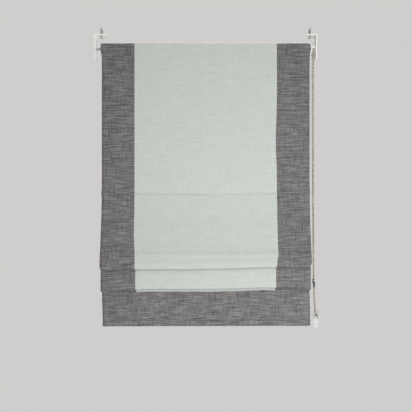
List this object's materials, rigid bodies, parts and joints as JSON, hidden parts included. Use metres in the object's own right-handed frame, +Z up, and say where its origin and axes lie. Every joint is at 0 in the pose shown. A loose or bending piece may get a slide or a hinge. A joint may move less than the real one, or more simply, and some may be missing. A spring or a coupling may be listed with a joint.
{
  "type": "roman blind",
  "caption": "Lined roman blind with pale linen and charcoal borders, partly raised in soft folds under a white headrail, worked by a bead chain on the right.",
  "frame": {"origin": "centre of the four fixing screws, on the soffit plane that the brackets bolt up to", "axes": "+X across the blind to the chain side, -Y into the room, +Z up into the soffit"},
  "size_m": [0.6575, 0.1042, 0.884],
  "materials": {
    "pale_linen": "matte woven, pale grey-green",
    "charcoal_linen": "matte slubbed weave, charcoal grey",
    "lining": "matte plain cotton, ivory",
    "white_metal": "white powder coat, satin",
    "white_plastic": "white, satin",
    "grey_plastic": "mid grey, satin",
    "clear_plastic": "clear, glossy",
    "zinc_steel": "zinc plated",
    "spring_steel": "oiled",
    "shaft_aluminium": "mill finish",
    "bead_brass": "pale, polished",
    "fibreglass": "off-white pultruded rod",
    "cord": "white braid",
    "tape": "white hook and loop"
  },
  "bodies": {
    "frame": {"headrail": "white_metal", "left_end_bracket": "white_metal", "right_end_bracket": "white_metal", "bracket_screws": "zinc_steel", "idle_end_cap": "white_plastic", "idle_pin": "zinc_steel", "drive_housing": "white_plastic", "drive_cover": "white_plastic", "clutch_spring": "spring_steel", "left_spool_cradle": "white_plastic", "middle_spool_cradle": "white_plastic", "right_spool_cradle": "white_plastic", "hook_tape": "tape", "loop_tape": "tape", "upper_centre_cloth": "pale_linen", "upper_left_border": "charcoal_linen", "upper_right_border": "charcoal_linen", "upper_lining": "lining", "left_lift_cord": "cord", "middle_lift_cord": "cord", "right_lift_cord": "cord", "bead_chain": "bead_brass", "chain_connector": "grey_plastic", "chain_stop": "grey_plastic", "chain_safety_clip": "clear_plastic"},
    "drive": {"chain_wheel": "white_plastic", "drive_shaft": "shaft_aluminium", "left_cord_spool": "white_plastic", "middle_cord_spool": "white_plastic", "right_cord_spool": "white_plastic", "left_cord_turns": "cord", "middle_cord_turns": "cord", "right_cord_turns": "cord"},
    "top_rod_set": {"top_rod": "fibreglass", "top_rod_pocket": "lining", "top_cord_rings": "white_plastic"},
    "lifted_stack": {"lower_centre_cloth": "pale_linen", "lower_left_border": "charcoal_linen", "lower_right_border": "charcoal_linen", "bottom_border": "charcoal_linen", "lower_lining": "lining", "middle_rod": "fibreglass", "middle_rod_pocket": "lining", "middle_cord_rings": "white_plastic", "bottom_rod": "fibreglass", "bottom_rod_pocket": "lining", "bottom_cord_rings": "white_plastic", "cord_connectors": "white_plastic", "hem_bar": "shaft_aluminium"}
  },
  "joints": [
    {"name": "lift", "type": "slide", "parent": "frame", "child": "lifted_stack", "axis": [0, 0, 1], "range_m": [-0.281, 0.39], "deforming": ["upper_centre_cloth", "upper_left_border", "upper_right_border", "upper_lining", "left_lift_cord", "middle_lift_cord", "right_lift_cord"]},
    {"name": "top_rod_slide", "type": "slide", "parent": "frame", "child": "top_rod_set", "axis": [0, 0, 1], "range_m": [-0.2318, 0.3215]},
    {"name": "drive_spin", "type": "hinge", "parent": "frame", "child": "drive", "pos_m": [0, 0, -0.0385], "axis": [1, 0, 0], "range_deg": [-2555, 1842]}
  ],
  "couplings": [
    {"joint": "top_rod_slide", "follows": "lift", "ratio": 0.823},
    {"joint": "drive_spin", "follows": "lift", "rad_per_m": -114.29}
  ]
}
